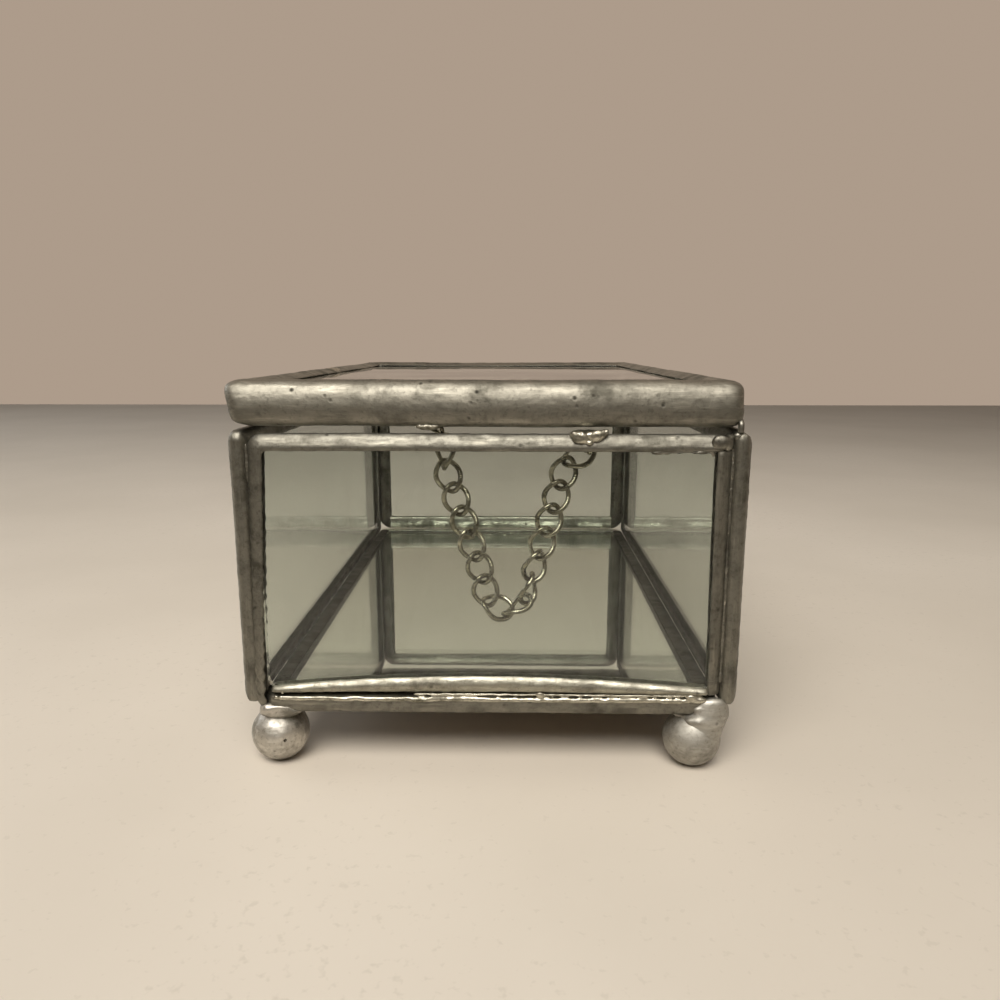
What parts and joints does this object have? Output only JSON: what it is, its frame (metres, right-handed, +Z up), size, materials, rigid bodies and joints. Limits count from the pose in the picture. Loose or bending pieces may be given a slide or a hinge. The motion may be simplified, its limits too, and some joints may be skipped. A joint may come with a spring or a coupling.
{
  "type": "hinged glass keepsake box",
  "caption": "Glass casket box of metal-framed panes on ball feet, with a mirrored base, a hinged lid of glass in a thick rolled frame, and a chain stay inside.",
  "frame": {"origin": "centre of the bounding box at the bottom of the feet", "axes": "+Z up, +Y from the end with the chain to the far end, +X towards the hinged side"},
  "size_m": [0.1024, 0.1578, 0.0816],
  "materials": {
    "pane_glass": "polished, slightly wavy, faint green tint",
    "mirror_glass": "polished",
    "silvering": "silvered, backed with paint",
    "strip_metal": "hand-rubbed pewter grey, scratched",
    "foot_metal": "satin, pitted",
    "solder": "lumpy bright solder",
    "hinge_wire": "drawn, dulled",
    "chain_wire": "plated, dulled"
  },
  "bodies": {
    "case": {"front_glass": "pane_glass", "back_glass": "pane_glass", "left_glass": "pane_glass", "right_glass": "pane_glass", "base_mirror": "mirror_glass", "base_silvering": "silvering", "front_strip_left_top": "strip_metal", "front_strip_right": "strip_metal", "front_strip_bottom": "strip_metal", "back_strip": "strip_metal", "left_strip": "strip_metal", "right_strip": "strip_metal", "base_strip": "strip_metal", "foot_front_left": "foot_metal", "foot_front_right": "foot_metal", "foot_back_left": "foot_metal", "foot_back_right": "foot_metal", "front_seam_solder": "solder", "seam_solder_front_left": "solder", "seam_solder_front_right": "solder", "seam_solder_back_left": "solder", "seam_solder_back_right": "solder", "foot_solder_front_left": "solder", "foot_solder_front_right": "solder", "foot_solder_back_left": "solder", "foot_solder_back_right": "solder", "hinge_solder_front": "solder", "hinge_solder_back": "solder", "chain_hook_solder": "solder", "hinge_rod": "hinge_wire", "chain_hook": "chain_wire"},
    "lid": {"lid_glass": "pane_glass", "lid_strip": "strip_metal", "lid_joint_solder": "solder", "hinge_tube": "hinge_wire", "hinge_tube_solder_front": "solder", "hinge_tube_solder_middle": "solder", "hinge_tube_solder_back": "solder", "lid_chain_solder": "solder", "chain_link_17": "chain_wire"},
    "chain_top_link": {"chain_link_1": "chain_wire"},
    "chain_rail_leg": {"chain_link_2": "chain_wire", "chain_link_3": "chain_wire", "chain_link_4": "chain_wire", "chain_link_5": "chain_wire", "chain_link_6": "chain_wire"},
    "chain_turn_1": {"chain_link_7": "chain_wire"},
    "chain_turn_2": {"chain_link_8": "chain_wire"},
    "chain_turn_3": {"chain_link_9": "chain_wire"},
    "chain_turn_4": {"chain_link_10": "chain_wire"},
    "chain_lid_leg": {"chain_link_11": "chain_wire", "chain_link_12": "chain_wire", "chain_link_13": "chain_wire", "chain_link_14": "chain_wire", "chain_link_15": "chain_wire"},
    "chain_end_link": {"chain_link_16": "chain_wire"}
  },
  "joints": [
    {"name": "lid_hinge", "type": "hinge", "parent": "case", "child": "lid", "pos_m": [0.0491, 0, 0.0733], "axis": [0, 1, 0], "range_deg": [0, 124.2]},
    {"name": "chain_pivot_1", "type": "hinge", "parent": "case", "child": "chain_top_link", "pos_m": [0.0201, -0.0683, 0.0668], "axis": [0, 1, 0], "range_deg": [0, 163.7]},
    {"name": "chain_pivot_2", "type": "hinge", "parent": "chain_top_link", "child": "chain_rail_leg", "pos_m": [0.01593, -0.0683, 0.06458], "axis": [0, 1, 0], "range_deg": [0, 46.1]},
    {"name": "chain_pivot_3", "type": "hinge", "parent": "chain_rail_leg", "child": "chain_turn_1", "pos_m": [0.00883, -0.0683, 0.03983], "axis": [0, 1, 0], "range_deg": [0, 5.1]},
    {"name": "chain_pivot_4", "type": "hinge", "parent": "chain_turn_1", "child": "chain_turn_2", "pos_m": [0.00785, -0.0683, 0.03477], "axis": [0, 1, 0], "range_deg": [-46.1, 0]},
    {"name": "chain_pivot_5", "type": "hinge", "parent": "chain_turn_2", "child": "chain_turn_3", "pos_m": [0.00378, -0.0683, 0.03213], "axis": [0, 1, 0], "range_deg": [-59.1, 0]},
    {"name": "chain_pivot_6", "type": "hinge", "parent": "chain_turn_3", "child": "chain_turn_4", "pos_m": [-0.00058, -0.0683, 0.03426], "axis": [0, 1, 0], "range_deg": [-56.1, 0]},
    {"name": "chain_pivot_7", "type": "hinge", "parent": "chain_turn_4", "child": "chain_lid_leg", "pos_m": [-0.0013, -0.0683, 0.03936], "axis": [0, 1, 0], "range_deg": [0, 10.1]},
    {"name": "chain_pivot_8", "type": "hinge", "parent": "chain_lid_leg", "child": "chain_end_link", "pos_m": [-0.00925, -0.0683, 0.06385], "axis": [0, 1, 0], "range_deg": [-21.1, 0]}
  ],
  "couplings": [
    {"joint": "chain_pivot_1", "follows": "lid_hinge", "ratio": 1.3165},
    {"joint": "chain_pivot_2", "follows": "lid_hinge", "ratio": 0.37013},
    {"joint": "chain_pivot_3", "follows": "lid_hinge", "ratio": 0.040232},
    {"joint": "chain_pivot_4", "follows": "lid_hinge", "ratio": -0.37013},
    {"joint": "chain_pivot_5", "follows": "lid_hinge", "ratio": -0.47474},
    {"joint": "chain_pivot_6", "follows": "lid_hinge", "ratio": -0.4506},
    {"joint": "chain_pivot_7", "follows": "lid_hinge", "ratio": 0.080464},
    {"joint": "chain_pivot_8", "follows": "lid_hinge", "ratio": -0.16897}
  ]
}
